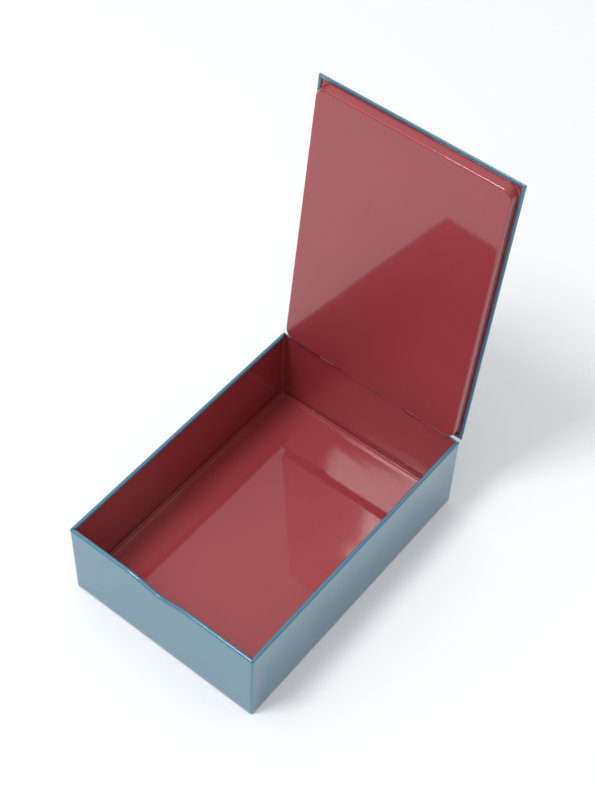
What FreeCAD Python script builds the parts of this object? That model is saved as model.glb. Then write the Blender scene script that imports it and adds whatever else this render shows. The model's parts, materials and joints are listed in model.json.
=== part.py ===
import FreeCAD, Part

import math
import operator
import os
from types import SimpleNamespace

import Sketcher
from FreeCAD import Vector

# A flat rectangular tin box with a rolled rim, whose lid is hinged at the rear and
# stands open.
#
# Frame: millimetres, origin under the middle of the bottom, +X to the right of
# the box, +Y towards the hinges, +Z up. The lid is drawn shut, about its own hinge
# line, and its placement turns it open.

doc = FreeCAD.newDocument("tin_box")

# ------------------------------------------------------------ driving dimensions

DIMENSIONS = {
    # the box
    "box_width": 100.0,           # outside, left to right
    "box_depth": 143.6,           # outside, front to rear
    "box_height": 44.2,           # to the top of the rolled rim
    "gauge": 0.3,                 # thickness of the sheet
    "corner_radius": 1.2,         # outside of the upright corners
    # the rolled rim
    "rim_radius": 0.97,           # outside of the roll
    "rear_rim_radius": 0.4,       # the same at the rear, behind the lid's panel
    "rim_wrap": 300.0,            # degrees of sheet in the roll
    "rim_corner_gap": 0.2,        # slit where two rolls meet at a corner
    # the finger dip in the front rim
    "dip_reach": 18.0,            # from the middle to where the rim is level
    "dip_depth": 2.7,
    "dip_shoulder_radius": 40.0,
    "dip_bottom_radius": 12.0,
    # the bottom plate and the seam folded up inside the walls
    "plate_inset": 0.1,           # of the plate's edge behind the walls' outside
    "seam_width": 1.7,
    "seam_rise": 0.55,            # above the floor
    "seam_edge_radius": 0.2,
    "seam_fit": 0.05,             # between seam and wall
    # the lid and its hem
    "lid_side_inset": 0.2,        # lid narrower than the box, each side
    "lid_front_overhang": 0.4,
    "lid_rear_overhang": 0.7,
    "lid_seat_gap": 0.15,         # between rim and shut lid
    "lid_corner_radius": 0.6,
    "lid_open_angle": 96.0,
    "hem_width": 1.6,             # sheet turned back under the lid
    "hem_fold_radius": 0.4,
    "hem_mitre_gap": 0.12,
    # the inner panel of the lid
    "panel_drop": 4.2,            # below the hem
    "panel_fit": 0.2,             # to the rolled rim, all round
    "panel_corner_radius": 5.5,
    "panel_edge_radius": 0.8,
    "panel_hem_fit": 0.15,        # between its edge and the fold of the hem
    # the two hinges
    "hinge_spacing": 48.0,        # from one to the other
    "hinge_drop": 0.5,            # of the hinge line below the top of the rim
    "pin_radius": 0.6,
    "pin_end": 1.2,               # of pin beyond the outer knuckles
    "pin_chamfer": 0.15,
    "pin_running_fit": 0.05,      # between pin and lid loop
    "loop_width": 8.0,            # of the lid's loop round the pin
    "loop_wrap": 290.0,           # degrees of sheet round the pin
    "loop_bend_radius": 0.8,      # where the lid turns down into the loop
    "knuckle_width": 4.0,         # of each of the wall's knuckles
    "knuckle_gap": 0.25,          # between knuckles and loop, along the pin
    "hinge_clearance": 0.3,       # round what turns
}

sizes = doc.addObject("Spreadsheet::Sheet", "sizes")
for row, (alias, number) in enumerate(DIMENSIONS.items(), start=1):
    sizes.set(f"A{row}", alias)
    sizes.set(f"B{row}", str(number))
    sizes.setAlias(f"B{row}", alias)
doc.recompute()


class Size:
    """A number worked out from the sheet, with the expression that ties it to the sheet."""

    def __init__(self, expression, value):
        self.expression = expression
        self.value = value

    def joined(self, sign, function, first, second):
        first, second = as_size(first), as_size(second)
        text = f"({first.expression} {sign} {second.expression})"
        return Size(text, function(first.value, second.value))

    def __add__(self, other):
        return self.joined("+", operator.add, self, other)

    def __radd__(self, other):
        return self.joined("+", operator.add, other, self)

    def __sub__(self, other):
        return self.joined("-", operator.sub, self, other)

    def __rsub__(self, other):
        return self.joined("-", operator.sub, other, self)

    def __mul__(self, other):
        return self.joined("*", operator.mul, self, other)

    def __rmul__(self, other):
        return self.joined("*", operator.mul, other, self)

    def __truediv__(self, other):
        return self.joined("/", operator.truediv, self, other)

    def __neg__(self):
        return 0 - self


def as_size(number):
    """A plain number as a Size, so that both can stand in the same sum."""
    return number if isinstance(number, Size) else Size(f"({number})", number)


size = SimpleNamespace(**{alias: Size(f"sizes.{alias}", float(sizes.get(alias)))
                          for alias in DIMENSIONS})

# ------------------------------------------------------------- shared positions

HALF_WIDTH = size.box_width / 2
HALF_DEPTH = size.box_depth / 2
BAND_TOP = size.box_height - size.rim_radius       # where the wall starts to roll

KNUCKLE_RADIUS = size.pin_radius + size.gauge
LOOP_RADIUS = size.pin_radius + size.pin_running_fit + size.gauge
LOOP_SLOT = size.loop_width + 2 * size.knuckle_gap
HINGE_SPAN = LOOP_SLOT + 2 * size.knuckle_width    # over the outer knuckles
HINGE_ZONE = HINGE_SPAN + 2 * size.hinge_clearance
HINGE_Y = HALF_DEPTH - size.gauge + KNUCKLE_RADIUS
HINGE_Z = size.box_height - size.hinge_drop

# The shut lid, measured from the hinge line.
LID_HALF_WIDTH = HALF_WIDTH - size.lid_side_inset
WALL_REAR = HALF_DEPTH - HINGE_Y                   # the rear wall's outside
WALL_FRONT = WALL_REAR - size.box_depth
LID_REAR = WALL_REAR + size.lid_rear_overhang
LID_FRONT = WALL_FRONT - size.lid_front_overhang
LID_UNDER = size.hinge_drop + size.lid_seat_gap
HEM_THICKNESS = 3 * size.gauge                     # skin, edge of the panel, hem
LID_TOP = LID_UNDER + HEM_THICKNESS

HINGES = {"left": -size.hinge_spacing / 2, "right": size.hinge_spacing / 2}

X, Y, Z = Vector(1, 0, 0), Vector(0, 1, 0), Vector(0, 0, 1)
TINY = 1e-6

# ---------------------------------------------------------------------- helpers


def bind(thing, **amounts):
    """Ties properties of an object to the sheet; two underscores stand for a dot."""
    for name, amount in amounts.items():
        thing.setExpression(name.replace("__", "."), as_size(amount).expression)


def place(thing, x, y, z):
    bind(thing, Placement__Base__x=x, Placement__Base__y=y, Placement__Base__z=z)


def new_sketch(body, name, role, offset=0):
    """A sketch on one of a body's own origin planes, moved along its normal."""
    sketch = body.newObject("Sketcher::SketchObject", name)
    plane = next(item for item in body.Origin.OriginFeatures if item.Role == role)
    sketch.AttachmentSupport = (plane, [""])
    sketch.MapMode = "FlatFace"
    bind(sketch, AttachmentOffset__Base__z=offset)
    return sketch


def constrain(sketch, kind, *places):
    return sketch.addConstraint(Sketcher.Constraint(kind, *places))


def dimension(sketch, amount, kind, *places):
    """A dimension of a sketch, tied to the sheet."""
    start = math.radians(amount.value) if kind == "Angle" else amount.value
    index = constrain(sketch, kind, *places, start)
    sketch.setExpression(f"Constraints[{index}]", amount.expression)


def rectangle(sketch, left, right, low, high):
    """A rectangle between two abscissas and two ordinates."""
    first = sketch.GeometryCount
    corners = [Vector(across.value, up.value, 0)
               for across, up in ((left, low), (right, low), (right, high), (left, high))]
    for corner, following in zip(corners, corners[1:] + corners[:1]):
        sketch.addGeometry(Part.LineSegment(corner, following))
    for side in range(4):
        constrain(sketch, "Coincident", first + side, 2, first + (side + 1) % 4, 1)
        constrain(sketch, "Vertical" if side % 2 else "Horizontal", first + side)
    dimension(sketch, left, "DistanceX", -1, 1, first, 1)
    dimension(sketch, low, "DistanceY", -1, 1, first, 1)
    dimension(sketch, right, "DistanceX", -1, 1, first + 2, 1)
    dimension(sketch, high, "DistanceY", -1, 1, first + 2, 1)


def rounded_rectangle(sketch, left, right, low, high, radius):
    """A rectangle with an arc tangent to both sides at each corner."""
    first = sketch.GeometryCount
    near_left, near_right = (left + radius).value, (right - radius).value
    near_low, near_high = (low + radius).value, (high - radius).value
    sides = (((near_left, low.value), (near_right, low.value)),
             ((right.value, near_low), (right.value, near_high)),
             ((near_right, high.value), (near_left, high.value)),
             ((left.value, near_high), (left.value, near_low)))
    centres = ((near_right, near_low), (near_right, near_high),
               (near_left, near_high), (near_left, near_low))
    for start, stop in sides:
        sketch.addGeometry(Part.LineSegment(Vector(*start, 0), Vector(*stop, 0)))
    for quarter, centre in enumerate(centres, start=-1):
        circle = Part.Circle(Vector(*centre, 0), Z, radius.value)
        begin = quarter * math.pi / 2
        sketch.addGeometry(Part.ArcOfCircle(circle, begin, begin + math.pi / 2))
    for side in range(4):
        arc = first + 4 + side
        constrain(sketch, "Tangent", first + side, 2, arc, 1)
        constrain(sketch, "Tangent", arc, 2, first + (side + 1) % 4, 1)
        constrain(sketch, "Vertical" if side % 2 else "Horizontal", first + side)
    for arc in range(first + 5, first + 8):
        constrain(sketch, "Equal", first + 4, arc)
    dimension(sketch, radius, "Radius", first + 4)
    dimension(sketch, low, "DistanceY", -1, 1, first, 1)
    dimension(sketch, right, "DistanceX", -1, 1, first + 1, 1)
    dimension(sketch, high, "DistanceY", -1, 1, first + 2, 1)
    dimension(sketch, left, "DistanceX", -1, 1, first + 3, 1)


def pad(body, name, sketch, length, both_ways=False):
    feature = body.newObject("PartDesign::Pad", name)
    feature.Profile = sketch
    feature.SideType = "Symmetric" if both_ways else "One side"
    bind(feature, Length=length)
    doc.recompute()
    return feature


def pocket(body, name, sketch, length=None, reverse=False):
    """A cut of a given depth, or right through, checked to take something away."""
    before = body.Shape.Volume
    feature = body.newObject("PartDesign::Pocket", name)
    feature.Profile = sketch
    feature.Reversed = reverse
    if length is None:
        feature.Type = "ThroughAll"
    else:
        bind(feature, Length=length)
    doc.recompute()
    if body.Shape.Volume > before - TINY:
        raise RuntimeError(f"{name} cuts nothing")
    return feature


def fillet(body, name, feature, radius, wanted):
    """Rounds the edges of a feature that pass a test."""
    names = [f"Edge{number}" for number, edge in enumerate(feature.Shape.Edges, start=1)
             if wanted(edge)]
    rounding = body.newObject("PartDesign::Fillet", name)
    rounding.Base = (feature, names)
    bind(rounding, Radius=radius)
    doc.recompute()
    return rounding


def upright(edge):
    return edge.Length - edge.BoundBox.ZLength < TINY


def level_at(height):
    """A test for edges that lie level at a height."""
    return lambda edge: (edge.BoundBox.ZLength < TINY
                         and abs(edge.BoundBox.ZMin - height.value) < TINY)


def box(name, sides, corner):
    """A block from its three sides and its lowest corner."""
    block = doc.addObject("Part::Box", name)
    bind(block, Length=sides[0], Width=sides[1], Height=sides[2])
    place(block, *corner)
    return block


def cylinder(name, radius, length, angle, middle, start, axis):
    """A cylinder, or a sector of one from a start direction, about an axis through a middle."""
    solid = doc.addObject("Part::Cylinder", name)
    solid.Placement = FreeCAD.Placement(Vector(), FreeCAD.Rotation(start, Vector(), axis, "ZXY"))
    bind(solid, Radius=radius, Height=length, Angle=angle)
    place(solid, *(at - length / 2 * round(way) for at, way in zip(middle, axis)))
    return solid


def roll(name, radius, wrap, length, middle, start, towards):
    """Sheet rolled round a straight line: from a start direction on, towards another."""
    axis = start.cross(towards)
    sheet = doc.addObject("Part::Cut", name)
    sheet.Base = cylinder(f"{name}_outside", radius, length, wrap, middle, start, axis)
    sheet.Tool = cylinder(f"{name}_inside", radius - size.gauge, length, 360, middle, start, axis)
    return sheet


def combined(kind, name, shapes):
    result = doc.addObject(kind, name)
    result.Shapes = shapes
    result.Refine = True
    return result


# --------------------------------------------------- bottom: plate and folded seam


def centred_outline(sketch, inset):
    """The outline of the walls, with its rounded corners, moved inwards."""
    half_x, half_y = HALF_WIDTH - inset, HALF_DEPTH - inset
    rounded_rectangle(sketch, -half_x, half_x, -half_y, half_y, size.corner_radius - inset)


def make_bottom():
    """The bottom plate, under the walls, and the seam that stands up inside them."""
    body = doc.addObject("PartDesign::Body", "box_bottom")
    plate = new_sketch(body, "plate_outline", "XY_Plane")
    centred_outline(plate, size.plate_inset)
    pad(body, "plate", plate, size.gauge)

    ring = new_sketch(body, "seam_outline", "XY_Plane", size.gauge)
    inset = size.gauge + size.seam_fit
    half_x, half_y = HALF_WIDTH - inset - size.seam_width, HALF_DEPTH - inset - size.seam_width
    centred_outline(ring, inset)
    rectangle(ring, -half_x, half_x, -half_y, half_y)
    seam = pad(body, "seam", ring, size.seam_rise)
    fillet(body, "seam_edges", seam, size.seam_edge_radius,
           level_at(size.gauge + size.seam_rise))
    return body


# -------------------------------------------------------- walls with a rolled rim


def dip_curve(sketch, height):
    """The line of the front rim: level, down into the dip and up again.

    Between its level ends it is shoulder arc, straight flank, bottom arc, flank and
    shoulder arc, tangent throughout. With both radii summed in R, reach a and depth
    d, the flank's slope s follows from a sin s + (R - d) cos s = R.
    """
    end, reach, depth = HALF_WIDTH.value, size.dip_reach.value, size.dip_depth.value
    shoulder, bottom = size.dip_shoulder_radius.value, size.dip_bottom_radius.value
    total = shoulder + bottom
    slope = (math.atan2(reach, total - depth)
             - math.acos(total / math.hypot(reach, total - depth)))
    level = height.value
    flank_top = Vector(-reach + shoulder * math.sin(slope),
                       level - shoulder * (1 - math.cos(slope)), 0)
    flank_end = Vector(-bottom * math.sin(slope),
                       level - depth + bottom * (1 - math.cos(slope)), 0)
    shoulder_centre = Vector(-reach, level - shoulder, 0)
    bottom_centre = Vector(0, level - depth + bottom, 0)
    up = math.pi / 2

    def mirrored(point):
        return Vector(-point.x, point.y, 0)

    def arc(centre, radius, start, stop):
        return Part.ArcOfCircle(Part.Circle(centre, Z, radius), start, stop)

    sketch.addGeometry([
        Part.LineSegment(Vector(-end, level, 0), Vector(-reach, level, 0)),
        arc(shoulder_centre, shoulder, up - slope, up),
        Part.LineSegment(flank_top, flank_end),
        arc(bottom_centre, bottom, -up - slope, -up + slope),
        Part.LineSegment(mirrored(flank_end), mirrored(flank_top)),
        arc(mirrored(shoulder_centre), shoulder, up, up + slope),
        Part.LineSegment(Vector(reach, level, 0), Vector(end, level, 0)),
    ])
    # The shoulders run clockwise along the curve, so the start of each is its later end.
    joints = ((0, 2, 1, 2), (1, 1, 2, 1), (2, 2, 3, 1), (3, 2, 4, 1), (4, 2, 5, 2), (5, 1, 6, 1))
    for joint in joints:
        constrain(sketch, "Tangent", *joint)
    constrain(sketch, "Horizontal", 0)
    constrain(sketch, "Equal", 1, 5)
    constrain(sketch, "PointOnObject", 3, 3, -2)
    constrain(sketch, "Symmetric", 0, 1, 6, 2, -2)
    constrain(sketch, "Symmetric", 0, 2, 6, 1, -2)
    dimension(sketch, size.dip_shoulder_radius, "Radius", 1)
    dimension(sketch, size.dip_bottom_radius, "Radius", 3)
    dimension(sketch, -HALF_WIDTH, "DistanceX", -1, 1, 0, 1)
    dimension(sketch, height, "DistanceY", -1, 1, 0, 1)
    dimension(sketch, -size.dip_reach, "DistanceX", -1, 1, 0, 2)
    dimension(sketch, height - size.dip_depth + size.dip_bottom_radius, "DistanceY", -1, 1, 3, 3)


def make_band():
    """The upright walls up to where the rim starts to roll, with its cut-outs."""
    body = doc.addObject("PartDesign::Body", "wall_band")
    outline = new_sketch(body, "band_outline", "XY_Plane", size.gauge)
    centred_outline(outline, as_size(0))
    centred_outline(outline, size.gauge)
    pad(body, "band_sheet", outline, BAND_TOP - size.gauge)

    dip = new_sketch(body, "dip_outline", "XZ_Plane")
    dip_curve(dip, BAND_TOP)
    above = BAND_TOP + size.rim_radius
    ends = [Vector(side * HALF_WIDTH.value, level.value, 0)
            for side, level in ((1, BAND_TOP), (1, above), (-1, above), (-1, BAND_TOP))]
    for start, stop in zip(ends, ends[1:]):
        dip.addGeometry(Part.LineSegment(start, stop))
    for joint in ((6, 2, 7, 1), (7, 2, 8, 1), (8, 2, 9, 1), (9, 2, 0, 1)):
        constrain(dip, "Coincident", *joint)
    constrain(dip, "Vertical", 7)
    constrain(dip, "Horizontal", 8)
    constrain(dip, "Vertical", 9)
    dimension(dip, above, "DistanceY", -1, 1, 7, 2)
    pocket(body, "dip", dip, reverse=True)

    slots = new_sketch(body, "loop_slots", "XZ_Plane")
    for middle in HINGES.values():
        rectangle(slots, middle - LOOP_SLOT / 2, middle + LOOP_SLOT / 2,
                  HINGE_Z - LOOP_RADIUS - size.hinge_clearance, above)
    pocket(body, "slots", slots)
    return body


def make_front_roll():
    """The front rim, rolled along the line of the dip."""
    body = doc.addObject("PartDesign::Body", "front_roll")
    path = new_sketch(body, "front_path", "XZ_Plane", HALF_DEPTH - size.rim_radius)
    dip_curve(path, BAND_TOP)
    section = new_sketch(body, "front_section", "YZ_Plane", -HALF_WIDTH)
    centre = Vector(size.rim_radius.value - HALF_DEPTH.value, BAND_TOP.value, 0)
    radii = (size.rim_radius, size.rim_radius - size.gauge)
    last = math.radians(180 - size.rim_wrap.value)
    for radius in radii:
        section.addGeometry(Part.ArcOfCircle(Part.Circle(centre, Z, radius.value), last, math.pi))
    tips = [[centre + Vector(math.cos(angle), math.sin(angle), 0) * radius.value
             for radius in radii] for angle in (math.pi, last)]
    for outer, inner in tips:
        section.addGeometry(Part.LineSegment(outer, inner))
    for joint in ((0, 2, 2, 1), (1, 2, 2, 2), (0, 1, 3, 1), (1, 1, 3, 2), (0, 3, 1, 3)):
        constrain(section, "Coincident", *joint)
    constrain(section, "Horizontal", 2)
    constrain(section, "PointOnObject", 0, 3, 2)
    constrain(section, "PointOnObject", 0, 3, 3)
    dimension(section, radii[0], "Radius", 0)
    dimension(section, radii[1], "Radius", 1)
    dimension(section, 360 - size.rim_wrap, "Angle", 3)
    dimension(section, size.rim_radius - HALF_DEPTH, "DistanceX", -1, 1, 0, 3)
    dimension(section, BAND_TOP, "DistanceY", -1, 1, 0, 3)
    doc.recompute()
    pipe = body.newObject("PartDesign::AdditivePipe", "front_pipe")
    pipe.Profile = section
    pipe.Spine = (path, [f"Edge{number}" for number in range(1, len(path.Shape.Edges) + 1)])
    doc.recompute()
    return body


def mitre_block(name, half_length, distance, turn):
    """The room of one side's roll: it narrows inwards at 45 degrees from corner to corner."""
    block = doc.addObject("Part::Wedge", name)
    outside, inside = size.rim_radius, 3 * size.rim_radius
    end = half_length - size.rim_corner_gap / math.sqrt(2)
    bind(block, Ymin=-outside, Ymax=inside,
         Xmin=-(end + outside), Xmax=end + outside, X2min=inside - end, X2max=end - inside,
         Zmin=0, Z2min=0, Zmax=size.box_height + outside, Z2max=size.box_height + outside)
    turned = FreeCAD.Rotation(Z, turn)
    block.Placement = FreeCAD.Placement(Vector(), turned)
    outward = turned.multVec(-Y)
    place(block, distance * round(outward.x), distance * round(outward.y), 0)
    return block


def make_rim():
    """The rolled rim: four sides that meet in mitres, the rear one broken by the hinges."""
    height = BAND_TOP
    inset_x, inset_y = HALF_WIDTH - size.rim_radius, HALF_DEPTH - size.rear_rim_radius
    left = roll("left_roll", size.rim_radius, size.rim_wrap, size.box_depth,
                (-inset_x, as_size(0), height), -X, Z)
    right = roll("right_roll", size.rim_radius, size.rim_wrap, size.box_depth,
                 (inset_x, as_size(0), height), X, Z)
    zone_inner = size.hinge_spacing / 2 - HINGE_ZONE / 2
    zone_outer = zone_inner + HINGE_ZONE
    end_length = HALF_WIDTH - zone_outer
    rear_runs = {
        "rear_left_roll": (end_length, -(zone_outer + end_length / 2)),
        "rear_middle_roll": (2 * zone_inner, as_size(0)),
        "rear_right_roll": (end_length, zone_outer + end_length / 2),
    }
    rear = combined("Part::MultiFuse", "rear_rolls", [
        roll(name, size.rear_rim_radius, size.rim_wrap, length, (middle, inset_y, height), Y, Z)
        for name, (length, middle) in rear_runs.items()])

    sides = []
    for name, rolled, half_length, distance, turn in (
            ("front", make_front_roll(), HALF_WIDTH, HALF_DEPTH, 0),
            ("right", right, HALF_DEPTH, HALF_WIDTH, 90),
            ("rear", rear, HALF_WIDTH, HALF_DEPTH, 180),
            ("left", left, HALF_DEPTH, HALF_WIDTH, 270)):
        room = mitre_block(f"{name}_mitre", half_length, distance, turn)
        sides.append(combined("Part::MultiCommon", f"{name}_side", [rolled, room]))
    return sides


def make_knuckles():
    """The wall's knuckles: sheet that rises behind the rim and rolls out round each pin."""
    pieces = []
    offset = (LOOP_SLOT + size.knuckle_width) / 2
    for hinge, middle in HINGES.items():
        for hand, x in (("outer", middle - offset), ("inner", middle + offset)):
            name = f"{hinge}_{hand}_knuckle"
            pieces.append(roll(name, KNUCKLE_RADIUS, size.rim_wrap, size.knuckle_width,
                               (x, HINGE_Y, HINGE_Z), -Y, Z))
            strip = (size.knuckle_width, size.gauge, HINGE_Z - BAND_TOP + size.gauge)
            pieces.append(box(f"{name}_strip", strip,
                              (x - size.knuckle_width / 2, HALF_DEPTH - size.gauge,
                               BAND_TOP - size.gauge)))
    return pieces


def make_wall():
    return combined("Part::MultiFuse", "box_wall", [make_band()] + make_rim() + make_knuckles())


# ------------------------------------------------- lid: hemmed skin with two loops


def lid_outline(sketch, inset):
    """The lid's outline, moved inwards."""
    rectangle(sketch, -(LID_HALF_WIDTH - inset), LID_HALF_WIDTH - inset,
              LID_FRONT + inset, LID_REAR - inset)


def make_lid_sheet():
    """The lid's skin, its folded edge and the hem turned back underneath."""
    body = doc.addObject("PartDesign::Body", "lid_sheet")
    face = new_sketch(body, "skin_outline", "XY_Plane", LID_TOP - size.gauge)
    lid_outline(face, as_size(0))
    pad(body, "skin", face, size.gauge)
    edge = new_sketch(body, "edge_outline", "XY_Plane", LID_UNDER)
    lid_outline(edge, as_size(0))
    lid_outline(edge, size.gauge)
    pad(body, "folded_edge", edge, HEM_THICKNESS)
    hem = new_sketch(body, "hem_outline", "XY_Plane", LID_UNDER)
    lid_outline(hem, as_size(0))
    lid_outline(hem, size.hem_width)
    turned = pad(body, "hem", hem, size.gauge)

    def outer_corner(edge):
        return upright(edge) and abs(abs(edge.CenterOfMass.x) - LID_HALF_WIDTH.value) < TINY

    rounded = fillet(body, "lid_corners", turned, size.lid_corner_radius, outer_corner)
    bounds = rounded.Shape.BoundBox

    def outline_edge(edge):
        middle = edge.CenterOfMass
        near_side = bounds.XMax - abs(middle.x) < size.gauge.value
        near_end = min(middle.y - bounds.YMin, bounds.YMax - middle.y) < size.gauge.value
        level = level_at(LID_UNDER)(edge) or level_at(LID_TOP)(edge)
        return level and (near_side or near_end)

    fillet(body, "folds", rounded, size.hem_fold_radius, outline_edge)

    relief = new_sketch(body, "hinge_relief", "XY_Plane", LID_TOP - size.gauge)
    for middle in HINGES.values():
        rectangle(relief, middle - HINGE_ZONE / 2, middle + HINGE_ZONE / 2,
                  -(KNUCKLE_RADIUS + 3 * size.hinge_clearance),
                  LID_REAR + size.hinge_clearance)
    pocket(body, "relief", relief, HEM_THICKNESS)
    return body


def make_loop(hinge, middle):
    """One loop of the lid: it leaves the skin, turns down and goes round the pin."""
    bend = size.loop_bend_radius
    bend_y = LOOP_RADIUS - bend
    bend_z = LID_TOP - bend
    left = middle - size.loop_width / 2
    root = LID_REAR - size.hem_width
    tab = box(f"{hinge}_tab", (size.loop_width, bend_y - root, size.gauge),
              (left, root, LID_TOP - size.gauge))
    turn = roll(f"{hinge}_turn", bend, 90, size.loop_width, (middle, bend_y, bend_z), Z, Y)
    drop = box(f"{hinge}_drop", (size.loop_width, size.gauge, bend_z),
               (left, LOOP_RADIUS - size.gauge, as_size(0)))
    loop = roll(f"{hinge}_loop", LOOP_RADIUS, size.loop_wrap, size.loop_width,
                (middle, as_size(0), as_size(0)), Y, -Z)
    return [tab, turn, drop, loop]


def make_mitre_slits():
    """Thin blades across the hem, one along the diagonal of each corner."""
    blades = []
    reach = size.hem_width * math.sqrt(2)
    for number, (side, end, turn) in enumerate(((-1, LID_FRONT, 45), (1, LID_FRONT, 135),
                                                (1, LID_REAR, 225), (-1, LID_REAR, 315))):
        blade = box(f"mitre_{number}", (reach, size.hem_mitre_gap, size.gauge),
                    (as_size(0), as_size(0), LID_UNDER))
        rotation = FreeCAD.Rotation(Z, turn)
        blade.Placement = FreeCAD.Placement(Vector(), rotation)
        aside = rotation.multVec(-Y)
        inward = rotation.multVec(X)
        start = size.hem_fold_radius * math.sqrt(2)
        place(blade, LID_HALF_WIDTH * side + start * inward.x + size.hem_mitre_gap / 2 * aside.x,
              end + start * inward.y + size.hem_mitre_gap / 2 * aside.y, LID_UNDER)
        blades.append(blade)
    return blades


def make_lid_skin():
    loops = [piece for hinge, middle in HINGES.items() for piece in make_loop(hinge, middle)]
    whole = combined("Part::MultiFuse", "whole_lid", [make_lid_sheet()] + loops)
    skin = doc.addObject("Part::Cut", "lid_skin")
    skin.Base = whole
    skin.Tool = combined("Part::MultiFuse", "mitre_slits", make_mitre_slits())
    return skin


# --------------------------------------------------------- lid: the inner panel


def pan_outline(sketch, inset):
    """The outline of the pan inside the rim of the box, moved inwards."""
    aside = 2 * size.rim_radius + size.panel_fit + inset
    behind = 2 * size.rear_rim_radius + size.panel_fit + inset
    rounded_rectangle(sketch, aside - HALF_WIDTH, HALF_WIDTH - aside,
                      WALL_FRONT + aside, WALL_REAR - behind,
                      size.panel_corner_radius - inset)


def make_lid_panel():
    """A shallow pan whose level edge is held in the hem and whose face goes into the box."""
    body = doc.addObject("PartDesign::Body", "lid_panel")
    drop = size.gauge + size.panel_drop
    middle = LID_UNDER + size.gauge
    pan_sketch = new_sketch(body, "pan_outline", "XY_Plane", middle - drop)
    pan_outline(pan_sketch, as_size(0))
    pan = pad(body, "pan", pan_sketch, drop)
    fillet(body, "pan_edge", pan, size.panel_edge_radius, level_at(middle - drop))

    edge_sketch = new_sketch(body, "edge_sketch", "XY_Plane", middle)
    held = size.gauge + size.panel_hem_fit
    rectangle(edge_sketch, held - LID_HALF_WIDTH, LID_HALF_WIDTH - held,
              LID_FRONT + held, WALL_REAR - held)
    pad(body, "level_edge", edge_sketch, size.gauge)

    hollow_sketch = new_sketch(body, "hollow_outline", "XY_Plane", middle + size.gauge)
    pan_outline(hollow_sketch, size.gauge)
    hollow = pocket(body, "hollow", hollow_sketch, drop)
    fillet(body, "hollow_edge", hollow, size.panel_edge_radius - size.gauge,
           level_at(middle - drop + size.gauge))
    return body


# ------------------------------------------------------------------- hinge pins


def make_pin(hinge, middle):
    body = doc.addObject("PartDesign::Body", f"hinge_pin_{hinge}")
    section = new_sketch(body, f"{hinge}_pin_section", "YZ_Plane")
    section.addGeometry(Part.Circle(Vector(), Z, size.pin_radius.value))
    constrain(section, "Coincident", 0, 3, -1, 1)
    dimension(section, size.pin_radius, "Radius", 0)
    rod = pad(body, f"{hinge}_rod", section, HINGE_SPAN + 2 * size.pin_end, both_ways=True)
    ends = body.newObject("PartDesign::Chamfer", f"{hinge}_ends")
    ends.Base = (rod, [f"Edge{number}" for number, edge in enumerate(rod.Shape.Edges, start=1)
                       if edge.BoundBox.XLength < TINY])
    bind(ends, Size=size.pin_chamfer)
    place(body, middle, HINGE_Y, HINGE_Z)
    return body


# ------------------------------------------------------------ the assembled tin


def open_lid(piece):
    """Moves a piece of the shut lid onto the hinge line and turns it open."""
    piece.Placement = FreeCAD.Placement(Vector(), FreeCAD.Rotation(-X, size.lid_open_angle.value))
    bind(piece, Placement__Rotation__Angle=size.lid_open_angle)
    place(piece, 0, HINGE_Y, HINGE_Z)


nodes = [make_bottom(), make_wall(), make_lid_skin(), make_lid_panel()]
nodes += [make_pin(hinge, middle) for hinge, middle in HINGES.items()]
for piece in nodes[2:4]:
    open_lid(piece)
doc.recompute()

for item in doc.Objects:
    if "Invalid" in item.State or "Error" in item.State:
        raise RuntimeError(f"{item.Label} did not recompute: {item.State}")

for node in nodes:
    if node.Shape.isNull() or not node.Shape.isValid() or len(node.Shape.Solids) != 1:
        raise RuntimeError(f"{node.Label} is not one valid solid")

os.makedirs("parts", exist_ok=True)
for node in nodes:
    node.Shape.exportStep(f"parts/{node.Label}.step")
    extent = node.Shape.BoundBox
    print(f"{node.Label}: {node.Shape.Volume:.1f} mm3, "
          f"{extent.XLength:.2f} x {extent.YLength:.2f} x {extent.ZLength:.2f} mm")
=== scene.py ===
# %% [markdown]
# # An open rectangular tin box
#
# The object is a flat tin of printed sheet steel: grey-blue lacquer outside, crimson
# lacquer inside, a rolled rim with a finger dip in front, and a hemmed lid that hangs
# open on two wire hinges. The walls, the lid and its panel are sheet 0.3 mm thick, so
# they are made in the same two steps: a surface with no thickness is worked out with
# numpy, then a Solidify modifier gives it the gauge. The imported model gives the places.

import json
import math

import bpy
import numpy as np
from mathutils import Matrix, Vector


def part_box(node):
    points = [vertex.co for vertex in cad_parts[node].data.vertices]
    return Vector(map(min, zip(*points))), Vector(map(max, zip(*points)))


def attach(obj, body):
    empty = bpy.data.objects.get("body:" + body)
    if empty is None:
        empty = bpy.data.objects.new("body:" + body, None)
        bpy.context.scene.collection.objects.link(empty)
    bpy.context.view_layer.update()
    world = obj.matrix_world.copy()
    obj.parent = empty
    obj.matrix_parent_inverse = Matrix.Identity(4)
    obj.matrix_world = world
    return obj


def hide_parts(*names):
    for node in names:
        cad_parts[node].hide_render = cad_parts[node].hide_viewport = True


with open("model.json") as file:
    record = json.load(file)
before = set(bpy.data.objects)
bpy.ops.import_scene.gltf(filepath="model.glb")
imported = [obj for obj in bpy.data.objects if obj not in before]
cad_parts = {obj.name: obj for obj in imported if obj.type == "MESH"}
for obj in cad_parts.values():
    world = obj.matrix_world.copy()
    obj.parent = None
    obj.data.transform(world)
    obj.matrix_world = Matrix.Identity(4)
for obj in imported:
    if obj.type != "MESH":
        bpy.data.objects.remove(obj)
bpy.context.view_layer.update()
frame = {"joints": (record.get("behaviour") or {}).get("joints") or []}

# %% [markdown]
# ## Sizes
#
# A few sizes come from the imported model: the walls' half sizes, the gauge, the hinge
# line and the angle at which the lid rests. The rest are the folds and rolls of the
# sheet. They are written in millimetres, as on a drawing, and used in metres.

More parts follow.
